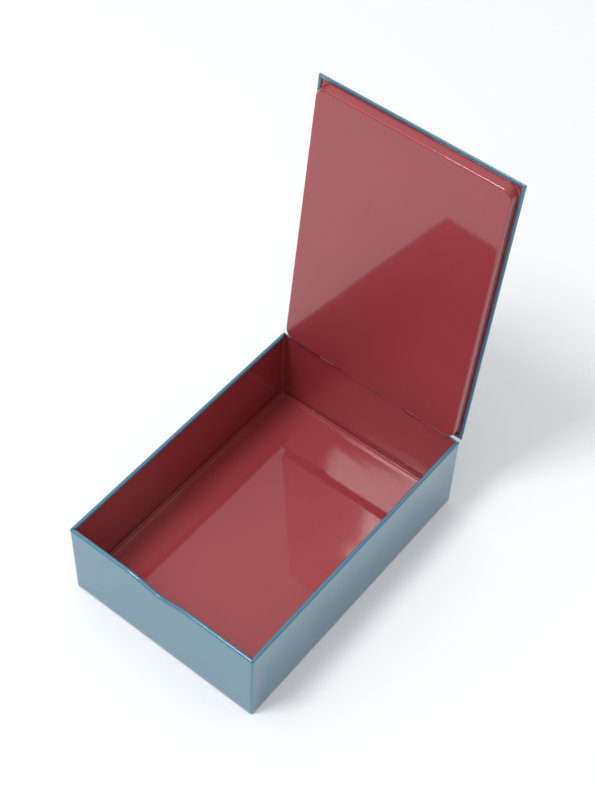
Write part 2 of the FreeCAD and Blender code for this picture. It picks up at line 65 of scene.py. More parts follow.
# %% Sizes from the frame
MM = 0.001
wall_low, wall_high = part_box("box_wall")
HALF_X = wall_high.x
HALF_Y = -wall_low.y
GAUGE = wall_low.z
HALF_GAUGE = GAUGE / 2
hinge = frame["joints"][0]
HINGE_Y, HINGE_Z = hinge["pos_m"][1:]
OPEN_ANGLE = math.radians(hinge["range_deg"][1])
HINGE_DROP = 0.5 * MM
HEIGHT = HINGE_Z + HINGE_DROP
print(f"box {2 * HALF_X:.4f} x {2 * HALF_Y:.4f} x {HEIGHT:.4f} m, sheet {GAUGE:.4f} m")

# %% Sizes of the folds
CORNER = 1.2 * MM
ROLL = 0.97 * MM
REAR_ROLL = 0.4 * MM
ROLL_TURN = 300.0
LOOP_TURN = 290.0
MITRE_GAP = 0.3 * MM / math.sqrt(2)
BAND_TOP = HEIGHT - ROLL
DIP_REACH = 18.0 * MM
DIP_DEPTH = 2.7 * MM
DIP_SHOULDER = 40.0 * MM
DIP_BOTTOM = 12.0 * MM
HINGE_X = 24.0 * MM
LOOP_HALF = 4.0 * MM
SLOT_HALF = 4.25 * MM
KNUCKLE = 4.0 * MM
ZONE_HALF = SLOT_HALF + KNUCKLE + 0.3 * MM
SLOT_FOOT = HINGE_Z - 1.25 * MM
PIN = 0.6 * MM
PIN_HALF = 9.45 * MM
PIN_BEVEL = 0.15 * MM
PIN_FIT = 0.05 * MM
LID_HALF_X = HALF_X - 0.2 * MM
WALL_REAR = HALF_Y - HINGE_Y
WALL_FRONT = WALL_REAR - 2 * HALF_Y
LID_REAR = WALL_REAR + 0.7 * MM
LID_FRONT = WALL_FRONT - 0.4 * MM
LID_UNDER = 0.65 * MM
LID_TOP = LID_UNDER + 3 * GAUGE
HEM = 1.6 * MM
FOLD = 0.4 * MM
LID_CORNER = 0.6 * MM
PAN_FIT = 0.2 * MM
PAN_INSET = 2 * ROLL + PAN_FIT
PAN_DEPTH = 4.5 * MM
PAN_FACE = LID_UNDER + GAUGE - PAN_DEPTH
PAN_CORNER = 5.5 * MM
PAN_EDGE = 1.0 * MM
PAN_DRAFT = 0.35 * MM
print(f"rim rolls from {BAND_TOP:.5f} m, lid opens {math.degrees(OPEN_ANGLE):.0f} degrees")

# %% [markdown]
# ## Surfaces on grids
#
# Sheet metal is folded along lines, so every surface here is a grid: one direction
# runs along the fold and the other follows the folded section. A helper joins the
# grid's points into faces, another turns several grids into one piece and welds them
# where they share an edge. Working on whole arrays keeps this fast and short.


# %% Grid helpers
def patch(points, closed=False, keep=None, paint=0, flip=False):
    """A grid of points (rows, columns, 3) and its faces.

    Each face joins a point with its neighbours in the next column and the next row; in
    a closed grid the last column is joined to the first. keep is a mask of the faces.
    """
    rows, columns = points.shape[:2]
    number = np.arange(rows * columns).reshape(rows, columns)
    if closed:
        number = np.hstack([number, number[:, :1]])
    faces = np.stack([number[:-1, :-1], number[:-1, 1:], number[1:, 1:], number[1:, :-1]], -1)
    if keep is not None:
        faces = faces[np.broadcast_to(keep, faces.shape[:2])]
    faces = faces.reshape(-1, 4)
    faces = faces[:, ::-1] if flip else faces
    return points.reshape(-1, 3), faces, np.full(len(faces), paint)


def make_piece(name, patches, sharp=40.0):
    """One mesh object from several patches, welded where they touch."""
    offsets = np.cumsum([0] + [len(p[0]) for p in patches[:-1]])
    points = np.concatenate([p[0] for p in patches])
    faces = np.concatenate([p[1] + offset for p, offset in zip(patches, offsets)])
    paint = np.concatenate([p[2] for p in patches])
    # Points on the same step of two microns become one, and faces left with no area go.
    weld_step = 2e-3 * MM
    key = np.round(points / weld_step).astype(np.int64)
    _, first, same = np.unique(key, axis=0, return_index=True, return_inverse=True)
    points, faces = points[first], same.reshape(-1)[faces]
    distinct = (np.diff(np.sort(faces, axis=1), axis=1) > 0).sum(axis=1) + 1
    lengths = np.minimum(distinct[distinct >= 3], 4)
    faces, paint = faces[distinct >= 3], paint[distinct >= 3]
    wanted = faces != np.roll(faces, 1, axis=1)
    mesh = bpy.data.meshes.new(name)
    loops = faces[wanted]
    mesh.vertices.add(len(points))
    mesh.vertices.foreach_set("co", points.astype(np.float32).ravel())
    mesh.loops.add(len(loops))
    mesh.loops.foreach_set("vertex_index", loops.astype(np.int32))
    mesh.polygons.add(len(faces))
    starts = np.concatenate([[0], np.cumsum(lengths)[:-1]])
    mesh.polygons.foreach_set("loop_start", starts.astype(np.int32))
    mesh.polygons.foreach_set("material_index", paint.astype(np.int32))
    mesh.update(calc_edges=True)
    mesh.validate()
    mesh.polygons.foreach_set("use_smooth", np.ones(len(mesh.polygons), bool))
    mesh.set_sharp_from_angle(angle=math.radians(sharp))
    piece = bpy.data.objects.new(name, mesh)
    bpy.context.scene.collection.objects.link(piece)
    print(f"{name}: {len(mesh.vertices)} points, {len(mesh.polygons)} faces")
    return piece


def thicken(piece, gauge=GAUGE, inner=1, edge=2):
    """Gives a surface the thickness of the sheet, half to each side.

    inner and edge say how many places further down the list of paints theirs are.
    """
    sheet = piece.modifiers.new("gauge", "SOLIDIFY")
    sheet.thickness = gauge
    sheet.offset = 0
    sheet.use_even_offset = True
    sheet.material_offset = inner
    sheet.material_offset_rim = edge
    return piece


# %% [markdown]
# ## Rings
#
# The walls, the seam of the bottom, the hem of the lid and its inner panel all go round
# a rectangle with rounded corners. Each is a ring: every point of the folded section,
# an inset and a height, is carried round the outline. The corner's radius shrinks with
# the inset until the corner is a plain mitre.


# %% Ring helper
def side_places(half, *groups):
    """Where the points of one side stand: its two ends and the groups of places between."""
    places = np.concatenate([np.atleast_1d(np.asarray(group, float)) for group in groups])
    places = np.round(places[np.abs(places) < half], 9)
    return np.concatenate([[-half], np.unique(places), [half]])


def ring(section, half_x, half_y, radius, places_x, places_y, fan=8, pull=None):
    """A section carried round a rectangle with rounded corners, as (rows, columns, 3).

    A row has an inset i and a height. Its rectangle is smaller by i, its corner radius is
    r - i but never under zero. Along a side the points keep their places, cut off where
    the corner begins, and in a corner they stand on the arc: middle plus radius times
    (cos t, sin t). pull shortens the sides of a row to leave slits at its corners.
    Also gives the side of each column: 0 front, 1 right, 2 rear, 3 left, and -1 corner.
    """
    inset, height = np.asarray(section, float).T
    pull = np.zeros_like(inset) if pull is None else np.asarray(pull, float)
    rest = np.maximum(radius - inset, 0.0)[:, None]
    far_x, far_y = (half_x - inset)[:, None], (half_y - inset)[:, None]
    end_x, end_y = far_x - rest, far_y - rest
    stop_x, stop_y = end_x - pull[:, None], end_y - pull[:, None]

    def cut(places, stop):
        inner = np.clip(places[None, :], -stop, stop)
        inner[:, :1], inner[:, -1:] = -stop, stop
        return inner

    along_x, along_y = cut(places_x, stop_x), cut(places_y, stop_y)
    turn = np.linspace(0, math.pi / 2, fan + 1)[1:-1]
    parts, sides = [], []
    for side in range(4):
        start = (side - 1) * math.pi / 2
        along = along_x if side % 2 == 0 else along_y
        along = along if side < 2 else -along
        far = (-far_y, far_x, far_y, -far_x)[side] + 0 * along
        parts.append(np.stack([along, far] if side % 2 == 0 else [far, along], -1))
        sides.append(np.full(along.shape[1], side))
        sign_x, sign_y = ((1, -1), (1, 1), (-1, 1), (-1, -1))[side]
        corner_x = sign_x * end_x + rest * np.cos(start + turn)
        corner_y = sign_y * end_y + rest * np.sin(start + turn)
        parts.append(np.stack([corner_x, corner_y], -1))
        sides.append(np.full(len(turn), -1))
    flat = np.concatenate(parts, axis=1)
    level = np.broadcast_to(height[:, None, None], flat.shape[:2] + (1,))
    return np.concatenate([flat, level], -1), np.concatenate(sides)


def arc(middle, radius, start, stop, steps):
    """Points of an arc in a section: middle plus radius times (-cos t, sin t), t in degrees.

    The first number is an inset, so an angle of 0 points outwards and 90 points up.
    """
    angle = np.radians(np.linspace(start, stop, steps + 1))
    return np.stack([middle[0] - radius * np.cos(angle), middle[1] + radius * np.sin(angle)], -1)


def waves(across, along, seed):
    """Slow unevenness of a pressed panel, from 0 to 1: a sum of long waves in both ways.

    Each wave is cos(a pi x + p) cos(b pi y + q), weaker as the orders a and b grow.
    """
    random = np.random.default_rng(seed)
    total = 0.0
    for order_a, order_b in ((1, 0), (0, 1), (1, 1), (2, 1), (1, 2), (2, 3), (3, 2)):
        phase_a, phase_b, weight = random.uniform(0, 2 * math.pi, 3)
        share = (0.5 + weight / 12) / (order_a + order_b)
        total = total + share * np.cos(order_a * math.pi * across + phase_a) \
            * np.cos(order_b * math.pi * along + phase_b)
    return 0.5 + 0.5 * np.tanh(total * 0.8)


def fade(share):
    """0 at both ends of -1 to 1 and 1 in the middle, level at the ends."""
    return (1 - share ** 2) ** 2


# %% [markdown]
# ## Walls with a rolled rim
#
# On the real tin the wall is one strip, bent round four corners; its top is curled
# inwards so that no cut edge is left to touch, and the curl is mitred at the corners.
# The front dips in the middle so that a thumb can lift the lid. A tube laid on the
# wall would be quicker, but the light shows where the wall becomes the curl, so here
# the same surface goes up the wall and round the curl.


# %% The dip
def dip(x):
    """How far the front rim sinks at x: shoulder arc, straight flank and bottom arc.

    The slope s of the flank follows from a sin s + (R - d) cos s = R, with R the sum of
    both radii, a the reach and d the depth.
    """
    both = DIP_SHOULDER + DIP_BOTTOM
    slope = math.atan2(DIP_REACH, both - DIP_DEPTH)
    slope -= math.acos(both / math.hypot(DIP_REACH, both - DIP_DEPTH))
    from_middle = np.abs(x)
    flank_top = DIP_REACH - DIP_SHOULDER * math.sin(slope)
    flank_foot = DIP_BOTTOM * math.sin(slope)
    from_end = np.clip(DIP_REACH - from_middle, 0, DIP_SHOULDER)
    shoulder = DIP_SHOULDER - np.sqrt(DIP_SHOULDER ** 2 - from_end ** 2)
    top_fall = DIP_SHOULDER * (1 - math.cos(slope))
    flank = top_fall + (flank_top - from_middle) * math.tan(slope)
    near = np.minimum(from_middle, flank_foot)
    bottom = DIP_DEPTH - DIP_BOTTOM + np.sqrt(DIP_BOTTOM ** 2 - near ** 2)
    fall = np.where(from_middle > flank_top, shoulder, flank)
    return np.where(from_middle < flank_foot, bottom, fall)


print(f"dip {1000 * float(dip(np.array(0.0))):.2f} mm deep")

# %% Wall surface
hinge_marks = np.array([ZONE_HALF, SLOT_HALF, SLOT_HALF + KNUCKLE])
zone_marks = np.concatenate([HINGE_X + hinge_marks, HINGE_X - hinge_marks])
zone_marks = np.concatenate([zone_marks, -zone_marks])
STRAIGHT_X, STRAIGHT_Y = HALF_X - CORNER, HALF_Y - CORNER
CURL_REACH = 2.8 * MM
wall_x = side_places(STRAIGHT_X, np.linspace(CURL_REACH - HALF_X, HALF_X - CURL_REACH, 55),
                     np.linspace(-DIP_REACH, DIP_REACH, 61), zone_marks)
wall_y = side_places(STRAIGHT_Y, np.linspace(CURL_REACH - HALF_Y, HALF_Y - CURL_REACH, 71))
wall_z = np.concatenate([np.linspace(GAUGE, SLOT_FOOT, 24), [BAND_TOP]])
wall_section = np.stack([np.full_like(wall_z, HALF_GAUGE), wall_z], -1)
wall_points, wall_side = ring(wall_section, HALF_X, HALF_Y, CORNER, wall_x, wall_y)
PRESS_SHORT = 0.10 * MM
PRESS_LONG = 0.14 * MM


def sink(points, side):
    """Lowers the front's points with the dip, all of it at the rim and none at the foot."""
    rise = np.clip((points[..., 2] - GAUGE) / (BAND_TOP - GAUGE), 0, 1)
    points[..., 2] -= np.where(side == 0, dip(points[..., 0]) * rise, 0)


def ease_wall(points, side):
    """Presses the walls in a little, most in the middle and not at their edges."""
    up = np.clip((points[..., 2] - GAUGE) / (BAND_TOP - GAUGE), 0, 1) * 2 - 1
    share_x, share_y = points[..., 0] / STRAIGHT_X, points[..., 1] / STRAIGHT_Y
    for number, share, axis, depth in ((0, share_x, 1, PRESS_SHORT), (1, share_y, 0, PRESS_LONG),
                                       (2, share_x, 1, PRESS_SHORT), (3, share_y, 0, PRESS_LONG)):
        push = depth * fade(up) * fade(share) * waves(share, up, 10 + number)
        sign = 1 if number in (0, 3) else -1
        points[..., axis] += np.where(side == number, sign * push, 0)


ease_wall(wall_points, wall_side)
sink(wall_points, wall_side)
column_x = wall_points[0, :, 0]
in_slot = np.abs(np.abs(column_x + np.roll(column_x, -1)) / 2 - HINGE_X) < SLOT_HALF
top_row = np.arange(len(wall_z) - 1) == len(wall_z) - 2
slot_faces = top_row[:, None] & (in_slot & (wall_side == 2))[None, :]
wall_patches = [patch(wall_points, closed=True, keep=~slot_faces)]
print(f"wall grid {wall_points.shape[:2]}")


# %% Curls of the rim
def curl_side(side, places, end, roll=ROLL):
    """One side's curl: the curl's section along the wall's top, mitred at its ends.

    A point's depth behind the wall is its inset, so at 45 degrees an end stands back by it.
    """
    curl = arc((roll, 0.0), roll - HALF_GAUGE, 0, ROLL_TURN, 40)
    depth = curl[:, :1]
    stop = end - MITRE_GAP - depth
    along = np.clip(places[None, :], -stop, stop)
    at_end = np.abs(places) > end - CORNER - 1e-7
    along = np.where(at_end[None, :], np.sign(places)[None, :]
                     * np.minimum(np.abs(places)[None, :], stop), along)
    height = BAND_TOP + curl[:, 1:] + 0 * along
    far = (HALF_Y if side in (0, 2) else HALF_X) - depth + 0 * along
    if side == 0:
        height = height - dip(along)
        return np.stack([along, -far, height], -1)
    if side == 1:
        return np.stack([far, along, height], -1)
    if side == 2:
        return np.stack([-along, far, height], -1)
    return np.stack([-far, -along, height], -1)


curl_x = np.concatenate([[-HALF_X], wall_x, [HALF_X]])
curl_y = np.concatenate([[-HALF_Y], wall_y, [HALF_Y]])
middle_x = -(curl_x[1:] + curl_x[:-1]) / 2
rolled = np.abs(np.abs(middle_x) - HINGE_X) > ZONE_HALF
wall_patches += [patch(curl_side(0, curl_x, HALF_X)), patch(curl_side(1, curl_y, HALF_Y)),
                 patch(curl_side(2, curl_x, HALF_X, REAR_ROLL), keep=rolled[None, :]),
                 patch(curl_side(3, curl_y, HALF_Y))]

# %% [markdown]
# The hinge knuckles are tongues of the same wall. Behind the rim they go up and roll
# outwards round a steel wire, so each shows the crimson inside of the sheet. Small
# tubes would do from afar, but a tongue that leaves the wall has the true open end.

# %% Knuckles of the wall
knuckle_turn = np.radians(np.linspace(180, 180 - ROLL_TURN, 41))
knuckle_mid = PIN + HALF_GAUGE
knuckle_y = HINGE_Y + knuckle_mid * np.cos(knuckle_turn)
knuckle_z = HINGE_Z + knuckle_mid * np.sin(knuckle_turn)
knuckle_y = np.concatenate([[HALF_Y - HALF_GAUGE], knuckle_y])
knuckle_z = np.concatenate([[BAND_TOP], knuckle_z])
for middle in (-HINGE_X, HINGE_X):
    for hand in (-1, 1):
        near = middle + hand * SLOT_HALF
        far = middle + hand * (SLOT_HALF + KNUCKLE)
        across = np.linspace(max(near, far), min(near, far), 5)
        grid_x, grid_y = np.meshgrid(across, knuckle_y)
        grid_z = np.repeat(knuckle_z[:, None], 5, axis=1)
        wall_patches.append(patch(np.stack([grid_x, grid_y, grid_z], -1)))

wall = thicken(make_piece("wall_sheet", wall_patches))
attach(wall, "box")
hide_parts("box_wall")

# %% [markdown]
# ## Bottom plate and its seam
#
# The bottom is a plate whose edge is folded up inside the walls, and that seam goes all
# round the floor. It shows as two bright lines along each wall, so its section has two
# rounded beads side by side. A ring of thick wire would be simpler, but it would not
# meet the plate in one sheet. The floor between is a pressed panel that is never quite
# flat: a slow bulge of up to a quarter of a millimetre bends its reflections. The plate
# is crimson above and blue below, where the outside of the tin is lacquered.

# %% Bottom sizes
SEAM_OUT = GAUGE + 0.05 * MM
SEAM_WIDE = 1.7 * MM
SEAM_TOP = GAUGE + 0.55 * MM
BEAD = 0.42 * MM
BEAD_SHIFT = 0.17 * BEAD
PLATE_INSET = 0.1 * MM
PLATE_EDGE = 0.05 * MM
FOOT = 0.35 * MM
FLOOR_BULGE = 0.10 * MM
FLOOR_WAVE = 0.14 * MM
seam_in = SEAM_OUT + SEAM_WIDE
floor_x = HALF_X - seam_in - FOOT
floor_y = HALF_Y - seam_in - FOOT
floor_places_x = side_places(floor_x, np.linspace(-45 * MM, 45 * MM, 46))
floor_places_y = side_places(floor_y, np.linspace(-68 * MM, 68 * MM, 69))

# %% Bottom surface
bead_out = arc((SEAM_OUT + BEAD_SHIFT, SEAM_TOP - BEAD), BEAD, 80, 165, 14)
bead_in = arc((seam_in - BEAD / math.sqrt(2), SEAM_TOP - BEAD), BEAD, 15, 135, 18)
under = np.array([[seam_in + FOOT, 0.0], [PLATE_INSET + PLATE_EDGE, 0.0],
                  [PLATE_INSET, PLATE_EDGE], [PLATE_INSET, GAUGE], [SEAM_OUT, GAUGE]])
foot_turn = np.radians(np.linspace(0, 90, 7))
foot = np.array([seam_in + FOOT, GAUGE + FOOT]) - FOOT * np.stack([np.cos(foot_turn), np.sin(foot_turn)], -1)
seam_section = np.concatenate([under, bead_out, bead_in, foot[1:]])
seam_points, _ = ring(seam_section, HALF_X, HALF_Y, CORNER, floor_places_x, floor_places_y, fan=6)


def panel(half_x, half_y, places_x, places_y, height):
    """A level grid between the places, for the middle of a ring."""
    grid_x, grid_y = np.meshgrid(places_x, places_y)
    return np.stack([grid_x, grid_y, np.full_like(grid_x, height)], -1)


floor_points = panel(floor_x, floor_y, floor_places_x, floor_places_y, GAUGE)
share_x, share_y = floor_points[..., 0] / floor_x, floor_points[..., 1] / floor_y
bulge = fade(share_x) * fade(share_y) * (FLOOR_BULGE + FLOOR_WAVE * waves(share_x, share_y, 3))
floor_points[..., 2] += bulge
base_points = panel(floor_x, floor_y, floor_places_x, floor_places_y, 0.0)
outside = (np.arange(len(seam_section) - 1) < len(under) - 1)[:, None]
base = make_piece("base_plate", [patch(seam_points, closed=True, keep=outside, paint=1),
                                 patch(seam_points, closed=True, keep=~outside),
                                 patch(floor_points), patch(base_points, flip=True, paint=1)])
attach(base, "box")
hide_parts("box_bottom")

# %% [markdown]
# ## The lid
#
# The lid is drawn shut, measured from the hinge line, and turned open at the end, the
# way the real one is made flat before it is hung. Its edge is hemmed: the sheet turns
# back underneath, so the narrow frame round the lid shows the blue outside of the
# sheet, and the frame's corners are mitred with a thin slit. A bevelled slab would have
# no frame and no slit, so the fold is followed as one section.


# %% Opening the lid
def open_lid(points):
    """Turns points of the shut lid about the hinge line: y' = y cos a + z sin a,
    z' = z cos a - y sin a, and then moves them onto that line."""
    cosine, sine = math.cos(OPEN_ANGLE), math.sin(OPEN_ANGLE)
    y = HINGE_Y + points[..., 1] * cosine + points[..., 2] * sine
    z = HINGE_Z - points[..., 1] * sine + points[..., 2] * cosine
    return np.stack([points[..., 0], y, z], -1)


LID_MIDDLE = (LID_FRONT + LID_REAR) / 2
LID_HALF_Y = (LID_REAR - LID_FRONT) / 2
MITRE_SLIT = 0.12 * MM / math.sqrt(2)
SKIN_EDGE = 3.0 * MM

# %% Skin and hem
RETURN_Z = LID_UNDER + HALF_GAUGE
SKIN_Z = LID_TOP - HALF_GAUGE
fold_mid = FOLD - HALF_GAUGE
hem_flat = np.array([[HEM, RETURN_Z], [HEM * 0.6, RETURN_Z], [LID_CORNER, RETURN_Z]])
fold_low = arc((FOLD, LID_UNDER + FOLD), fold_mid, -90, 0, 6)
fold_high = arc((FOLD, LID_TOP - FOLD), fold_mid, 0, 90, 6)
skin_rim = np.array([[LID_CORNER, SKIN_Z], [SKIN_EDGE / 2, SKIN_Z], [SKIN_EDGE, SKIN_Z]])
lid_section = np.concatenate([hem_flat, fold_low, fold_high, skin_rim])
lid_marks = np.array([ZONE_HALF, LOOP_HALF])
lid_marks = np.concatenate([HINGE_X + lid_marks, HINGE_X - lid_marks])
skin_x, skin_y = LID_HALF_X - SKIN_EDGE, LID_HALF_Y - SKIN_EDGE
lid_x = side_places(LID_HALF_X - LID_CORNER, np.linspace(-skin_x, skin_x, 41), lid_marks, -lid_marks)
lid_y = side_places(LID_HALF_Y - LID_CORNER, np.linspace(-skin_y, skin_y, 57))
hem_rows = len(hem_flat)
fold_rows = len(fold_low) + len(fold_high)
pull = np.where(np.arange(len(lid_section)) < hem_rows, MITRE_SLIT, 0.0)
lid_points, lid_side = ring(lid_section, LID_HALF_X, LID_HALF_Y, LID_CORNER, lid_x, lid_y,
                            fan=6, pull=pull)
next_side = np.roll(lid_side, -1)
corner_face = (lid_side == -1) | (next_side == -1)
lid_column_x = lid_points[hem_rows + 1, :, 0]
between = (lid_column_x + np.roll(lid_column_x, -1)) / 2
hinge_face = (lid_side == 2) & (next_side == 2) & (np.abs(np.abs(between) - HINGE_X) < ZONE_HALF)
row = np.arange(len(lid_section) - 1)[:, None]
slit = (row < hem_rows) & corner_face[None, :]
relief = (row < hem_rows + fold_rows - 1) & hinge_face[None, :]
lid_patches = [patch(lid_points, closed=True, keep=~(slit | relief))]

# %% Skin panel and hinge loops
inner_x = side_places(skin_x, lid_x)
inner_y = side_places(skin_y, lid_y)
skin_points = panel(skin_x, skin_y, inner_x, inner_y, SKIN_Z)
share_x, share_y = skin_points[..., 0] / skin_x, skin_points[..., 1] / skin_y
SKIN_PRESS = 0.12 * MM
skin_points[..., 2] -= SKIN_PRESS * fade(share_x) * fade(share_y) * waves(share_x, share_y, 5)
lid_patches.append(patch(skin_points))

BEND = 0.8 * MM
LOOP = PIN + PIN_FIT + GAUGE
loop_mid, bend_mid = LOOP - HALF_GAUGE, BEND - HALF_GAUGE
bend_angle = np.radians(np.linspace(90, 0, 9))
loop_angle = np.radians(np.linspace(0, -LOOP_TURN, 40))
strip_start = LID_HALF_Y + LID_MIDDLE - LID_CORNER
loop_y = np.concatenate([[strip_start, LID_REAR - 0.05 * MM], LOOP - BEND + bend_mid * np.cos(bend_angle),
                         loop_mid * np.cos(loop_angle)])
loop_z = np.concatenate([[SKIN_Z, SKIN_Z], LID_TOP - BEND + bend_mid * np.sin(bend_angle),
                         loop_mid * np.sin(loop_angle)])
for middle in (-HINGE_X, HINGE_X):
    zone = lid_x[(np.abs(lid_x - middle) < ZONE_HALF + 1e-6)][::-1]
    tab = zone[np.abs(zone - middle) < LOOP_HALF + 1e-6]
    for places, count in ((zone[zone >= middle + LOOP_HALF - 1e-6], 2), (tab, len(loop_y)),
                          (zone[zone <= middle - LOOP_HALF + 1e-6], 2)):
        grid_x, grid_y = np.meshgrid(places, loop_y[:count] - LID_MIDDLE)
        grid_z = np.repeat(loop_z[:count, None], len(places), axis=1)
        lid_patches.append(patch(np.stack([grid_x, grid_y, grid_z], -1), flip=True))

for number, (points, faces, paint) in enumerate(lid_patches):
    lid_patches[number] = (open_lid(points + [0, LID_MIDDLE, 0]), faces, paint)
lid = thicken(make_piece("lid_sheet", lid_patches))
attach(lid, "lid")
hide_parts("lid_skin")

# %% [markdown]
# ## The inner panel of the lid
#
# A shallow crimson pan is held in the hem and goes down inside the rim when the lid is
# shut. Its corners are wide arcs, its edge is rounded and its sides lean, as a pressing
# needs to leave its die. Its face is pressed in a little, so the picture it mirrors is
# soft at the sides and bends near the edges. A rounded box would mirror like plate
# glass, so it is a ring again: face, edge, side and the level flange in the hem.

# %% Panel sizes
pan_half_x = HALF_X - PAN_INSET
pan_rear = WALL_REAR - 2 * REAR_ROLL - PAN_FIT
pan_front = WALL_FRONT + PAN_INSET
PAN_MIDDLE = (pan_rear + pan_front) / 2
pan_half_y = (pan_rear - pan_front) / 2
FLANGE_Z = LID_UNDER + GAUGE + HALF_GAUGE
edge_mid = PAN_EDGE - HALF_GAUGE
face_mid = PAN_FACE + HALF_GAUGE
ROOT = 0.15 * MM
REAR_PUSH = PAN_DRAFT + 0.2 * MM
FRONT_PULL = 0.6 * MM
FLANGE = 1.0 * MM
FACE_PRESS = 0.05 * MM
FACE_WAVE = 0.16 * MM
FACE_STEPS = np.array([4.2, 3.2, 2.4, 1.8]) * MM
print(f"panel {2 * pan_half_x:.4f} x {2 * pan_half_y:.4f} m, face {-PAN_FACE:.4f} m under the hinge line")

# %% Panel surface
face_inset = np.concatenate([[PAN_CORNER], FACE_STEPS])
face_rows = np.stack([face_inset, np.full_like(face_inset, face_mid)], -1)
edge_rows = arc((PAN_DRAFT + PAN_EDGE, face_mid + edge_mid), edge_mid, -90, 0, 12)
side_share = np.linspace(0, 1, 6)[1:]
side_rows = np.stack([HALF_GAUGE + PAN_DRAFT * (1 - side_share),
                      edge_rows[-1, 1] + (FLANGE_Z - ROOT - edge_rows[-1, 1]) * side_share], -1)
root_angle = np.radians(np.linspace(0, 90, 5))[1:]
root_rows = np.stack([HALF_GAUGE - ROOT * (1 - np.cos(root_angle)),
                      FLANGE_Z - ROOT * (1 - np.sin(root_angle))], -1)
flange_rows = np.array([[-FLANGE, FLANGE_Z]])
pan_section = np.concatenate([face_rows, edge_rows, side_rows, root_rows, flange_rows])
core_x, core_y = pan_half_x - PAN_CORNER, pan_half_y - PAN_CORNER
pan_x = side_places(core_x, np.linspace(-core_x, core_x, 47))
pan_y = side_places(core_y, np.linspace(-core_y, core_y, 69))
pan_points, _ = ring(pan_section, pan_half_x, pan_half_y, PAN_CORNER, pan_x, pan_y, fan=16)


def press_face(points):
    """Presses the face in towards the skin, most in the middle, and lets it wave slowly."""
    across = np.clip(points[..., 0] / (pan_half_x - PAN_EDGE), -1, 1)
    along = np.clip(points[..., 1] / (pan_half_y - PAN_EDGE), -1, 1)
    amount = fade(across) * fade(along) * (FACE_PRESS + FACE_WAVE * waves(across, along, 7))
    on_face = points[..., 2] < face_mid + 1e-6
    points[..., 2] += np.where(on_face, amount, 0)
    return points


def set_draft(points):
    """Changes the slope of two sides, by the share of the depth and of the way to that side.

    The rear side's foot moves back until it is upright, and the front side's root moves
    out until the side meets the hem.
    """
    depth = np.clip((FLANGE_Z - points[..., 2]) / (FLANGE_Z - face_mid), 0, 1)
    along = points[..., 1] / core_y
    back = REAR_PUSH * depth * np.clip(along, 0, 1)
    out = FRONT_PULL * (1 - depth) ** 2 * np.clip(-along, 0, 1)
    points[..., 1] += back - out
    return points


core_points = panel(core_x, core_y, pan_x, pan_y, face_mid)
pan_patches = [patch(set_draft(press_face(pan_points)), closed=True),
               patch(set_draft(press_face(core_points)), flip=True)]
for number, (points, faces, paint) in enumerate(pan_patches):
    pan_patches[number] = (open_lid(points + [0, PAN_MIDDLE, 0]), faces, paint)
pan = thicken(make_piece("lid_inner_panel", pan_patches), inner=0, edge=0)
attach(pan, "lid")
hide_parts("lid_panel")

# %% [markdown]
# ## Hinge wires
#
# Each hinge turns on a short piece of drawn steel wire, cut off square and rounded a
# little by the tumbler. A section of radius and place along the wire, turned round its
# axis, makes it: a plain cylinder would have two sharp flat ends. A rotation written in
# sines and cosines gives every ring of the wire at once.


# %% Wires
def wire(name, middle):
    """A section (place along x, radius) turned about the hinge line, closed at both ends."""
    turn = np.radians(np.linspace(0, 90, 6))
    end_x = PIN_HALF - PIN_BEVEL + PIN_BEVEL * np.sin(turn)
    end_r = PIN - PIN_BEVEL + PIN_BEVEL * np.cos(turn)
    shaft = np.linspace(0, PIN_HALF - PIN_BEVEL, 12)[1:-1]
    place = np.concatenate([shaft, end_x, [PIN_HALF]])
    radius = np.concatenate([np.full(len(shaft), PIN), end_r, [0.0]])
    place = np.concatenate([-place[::-1], place])
    radius = np.concatenate([radius[::-1], radius])
    around = np.linspace(0, 2 * math.pi, 33)[:-1]
    x = np.broadcast_to(middle + place[:, None], (len(place), len(around)))
    y = HINGE_Y + radius[:, None] * np.cos(around)
    z = HINGE_Z + radius[:, None] * np.sin(around)
    piece = make_piece(name, [patch(np.stack([x, y, z], -1), closed=True, flip=True)])
    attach(piece, "box")
    return piece


wire_left = wire("hinge_wire_left", -HINGE_X)
wire_right = wire("hinge_wire_right", HINGE_X)
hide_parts("hinge_pin_left")
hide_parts("hinge_pin_right")

# %% [markdown]
# ## Lacquer
#
# The sheet is tinplate under a transparent tinted lacquer. Light comes back in two
# ways: a sharp pale reflection from the lacquer's surface, and a soft reflection in the
# lacquer's colour from the metal below. A Principled shader has both, as a coat over a
# slightly metallic base; a base of full metal would mirror the lamp as a broad glare.
# Noise makes the tint, the gloss and the surface slightly uneven, and rubbed folds are
# paler. Noise scales count the specks across one metre.


# %% Material helpers
def new_material(name):
    material = bpy.data.materials.new(name)
    material.use_nodes = True
    nodes = material.node_tree.nodes
    return material, nodes, material.node_tree.links, nodes["Principled BSDF"]


def noise(nodes, links, source, scale, detail=3.0):
    node = nodes.new("ShaderNodeTexNoise")
    node.inputs["Scale"].default_value = scale
    node.inputs["Detail"].default_value = detail
    links.new(source, node.inputs["Vector"])
    return node.outputs["Fac"]


def between_values(nodes, links, source, low, high, start=0.3, stop=0.7):
    node = nodes.new("ShaderNodeMapRange")
    for socket, value in (("From Min", start), ("From Max", stop), ("To Min", low), ("To Max", high)):
        node.inputs[socket].default_value = value
    links.new(source, node.inputs["Value"])
    return node.outputs["Result"]


def between_colours(nodes, links, factor, first, second):
    node = nodes.new("ShaderNodeMix")
    node.data_type = "RGBA"
    for name, value in (("A", first), ("B", second)):
        socket = [s for s in node.inputs if s.name == name and s.type == "RGBA"][0]
        if hasattr(value, "is_output"):
            links.new(value, socket)
        else:
            socket.default_value = (*value, 1)
    links.new(factor, node.inputs[0])
    return [s for s in node.outputs if s.type == "RGBA"][0]


